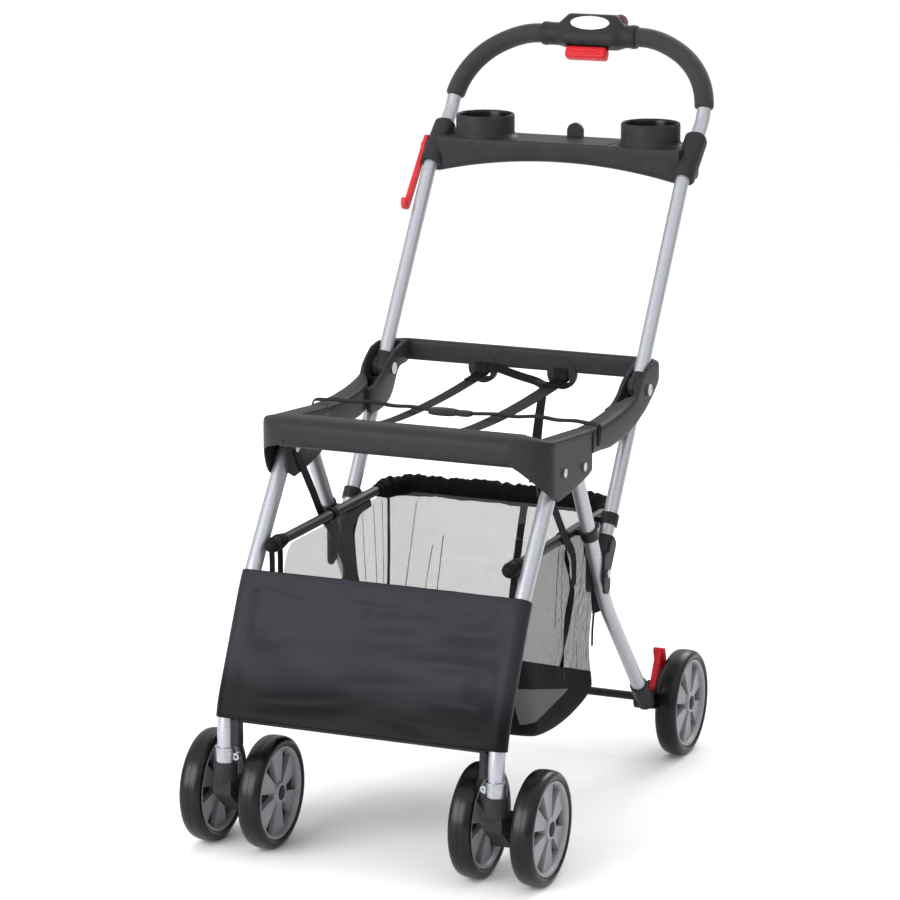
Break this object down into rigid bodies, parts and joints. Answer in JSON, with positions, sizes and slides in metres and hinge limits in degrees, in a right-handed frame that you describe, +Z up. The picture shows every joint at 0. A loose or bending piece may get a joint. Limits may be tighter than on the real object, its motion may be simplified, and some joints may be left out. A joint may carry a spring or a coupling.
{
  "type": "car seat stroller frame",
  "caption": "Folding stroller chassis with a tray ring for an infant car seat, swivel casters, braked rear wheels, a hanging mesh basket and an arched push handle with cup holders.",
  "frame": {"origin": "on the floor, under the middle of the frame's outer size", "axes": "+Z up, the front faces -Y, +X is on the right in the picture"},
  "size_m": [0.504, 0.8821, 1.0391],
  "materials": {
    "tube_silver": "satin",
    "black_plastic": "fine grain, satin",
    "red_plastic": "satin",
    "foam_rubber": "foam",
    "tyre_rubber": "matt",
    "steel": "zinc plated",
    "mesh_cloth": "open mesh",
    "panel_cloth": "coated weave",
    "webbing": "woven",
    "rim_grey": "silver grey",
    "black_metal": "powder coated"
  },
  "bodies": {
    "main_frame": {"tray_front": "black_plastic", "tray_rear": "black_plastic", "rear_leg_left": "tube_silver", "rear_leg_right": "tube_silver", "lower_tube_left": "tube_silver", "lower_tube_right": "tube_silver", "link_fitting_left": "black_plastic", "link_fitting_right": "black_plastic", "knuckle_base_left": "black_plastic", "knuckle_base_right": "black_plastic", "pivot_rivets": "steel", "rear_bracket_left": "black_plastic", "rear_bracket_right": "black_plastic", "rear_axle": "black_metal", "basket_rim": "black_metal", "basket": "mesh_cloth", "basket_sleeve": "panel_cloth", "basket_webbing": "webbing", "seat_straps": "webbing", "belt": "webbing", "buckle": "black_plastic"},
    "front_legs": {"front_leg_left": "tube_silver", "front_leg_right": "tube_silver", "front_panel": "panel_cloth", "front_brace": "black_plastic", "leg_collar_left": "steel", "leg_collar_right": "steel"},
    "caster_left": {"caster_fork_left": "black_plastic", "caster_axle_left": "steel"},
    "caster_right": {"caster_fork_right": "black_plastic", "caster_axle_right": "steel"},
    "handle": {"handle_tube_left": "tube_silver", "handle_tube_right": "tube_silver", "grip_left": "foam_rubber", "grip_right": "foam_rubber", "handle_knuckle_left": "black_plastic", "handle_knuckle_right": "black_plastic", "console": "black_plastic", "housing_top": "black_plastic", "housing_bottom": "black_plastic"},
    "lid": {"console_lid": "black_plastic"},
    "release_trigger": {"trigger": "red_plastic"},
    "release_lock": {"lock_button": "red_plastic"},
    "latch": {"latch_plungers": "steel"},
    "hook_lever": {"fold_hook": "red_plastic"},
    "brake_left": {"brake_pedal_left": "red_plastic"},
    "brake_right": {"brake_pedal_right": "red_plastic"},
    "front_wheel_left_outer": {"front_rim_left_outer": "rim_grey", "front_tyre_left_outer": "tyre_rubber"},
    "front_wheel_left_inner": {"front_rim_left_inner": "rim_grey", "front_tyre_left_inner": "tyre_rubber"},
    "front_wheel_right_inner": {"front_rim_right_inner": "rim_grey", "front_tyre_right_inner": "tyre_rubber"},
    "front_wheel_right_outer": {"front_rim_right_outer": "rim_grey", "front_tyre_right_outer": "tyre_rubber"},
    "rear_wheel_left": {"rear_rim_left": "rim_grey", "rear_tyre_left": "tyre_rubber"},
    "rear_wheel_right": {"rear_rim_right": "rim_grey", "rear_tyre_right": "tyre_rubber"}
  },
  "joints": [
    {"name": "handle_fold", "type": "hinge", "parent": "main_frame", "child": "handle", "pos_m": [0, 0.098, 0.562], "axis": [1, 0, 0], "range_deg": [0, 110]},
    {"name": "front_fold", "type": "hinge", "parent": "main_frame", "child": "front_legs", "pos_m": [0, -0.217, 0.512], "axis": [1, 0, 0], "range_deg": [0, 44], "deforming": ["basket", "basket_webbing"]},
    {"name": "caster_swivel_left", "type": "hinge", "parent": "front_legs", "child": "caster_left", "pos_m": [-0.193, -0.413, 0.128], "axis": [0, 0, 1], "continuous": true},
    {"name": "caster_swivel_right", "type": "hinge", "parent": "front_legs", "child": "caster_right", "pos_m": [0.193, -0.413, 0.128], "axis": [0, 0, 1], "continuous": true},
    {"name": "front_spin_left_outer", "type": "hinge", "parent": "caster_left", "child": "front_wheel_left_outer", "pos_m": [-0.236, -0.365, 0.076], "axis": [1, 0, 0], "continuous": true},
    {"name": "front_spin_left_inner", "type": "hinge", "parent": "caster_left", "child": "front_wheel_left_inner", "pos_m": [-0.15, -0.365, 0.076], "axis": [1, 0, 0], "continuous": true},
    {"name": "front_spin_right_inner", "type": "hinge", "parent": "caster_right", "child": "front_wheel_right_inner", "pos_m": [0.15, -0.365, 0.076], "axis": [1, 0, 0], "continuous": true},
    {"name": "front_spin_right_outer", "type": "hinge", "parent": "caster_right", "child": "front_wheel_right_outer", "pos_m": [0.236, -0.365, 0.076], "axis": [1, 0, 0], "continuous": true},
    {"name": "rear_spin_left", "type": "hinge", "parent": "main_frame", "child": "rear_wheel_left", "pos_m": [-0.216, 0.237, 0.076], "axis": [1, 0, 0], "continuous": true},
    {"name": "rear_spin_right", "type": "hinge", "parent": "main_frame", "child": "rear_wheel_right", "pos_m": [0.216, 0.237, 0.076], "axis": [1, 0, 0], "continuous": true},
    {"name": "brake_press_left", "type": "hinge", "parent": "main_frame", "child": "brake_left", "pos_m": [-0.1885, 0.194, 0.106], "axis": [-1, 0, 0], "range_deg": [0, 22]},
    {"name": "brake_press_right", "type": "hinge", "parent": "main_frame", "child": "brake_right", "pos_m": [0.1885, 0.194, 0.106], "axis": [-1, 0, 0], "range_deg": [0, 22]},
    {"name": "trigger_squeeze", "type": "slide", "parent": "handle", "child": "release_trigger", "axis": [0, 0.4695, 0.8829], "range_m": [0, 0.0055], "stiffness_N_per_m": 400, "springref_m": -0.004},
    {"name": "latch_draw", "type": "slide", "parent": "handle", "child": "latch", "axis": [0, 0.548, 0.8365], "range_m": [0, 0.006]},
    {"name": "lock_slide", "type": "slide", "parent": "handle", "child": "release_lock", "axis": [-1, 0, 0], "range_m": [0, 0.006], "stiffness_N_per_m": 100, "springref_m": -0.004},
    {"name": "hook_swing", "type": "hinge", "parent": "handle", "child": "hook_lever", "pos_m": [-0.2129, 0.29882, 0.84966], "axis": [1, 0, 0], "range_deg": [0, 30], "stiffness_Nm_per_rad": 0.1, "springref_deg": -17.19},
    {"name": "lid_lift", "type": "hinge", "parent": "handle", "child": "lid", "pos_m": [0, 0.2845, 0.8665], "axis": [1, 0, 0], "range_deg": [0, 95]}
  ],
  "couplings": [
    {"joint": "front_fold", "follows": "handle_fold", "ratio": 0.4},
    {"joint": "latch_draw", "follows": "trigger_squeeze", "ratio": 1.09}
  ]
}
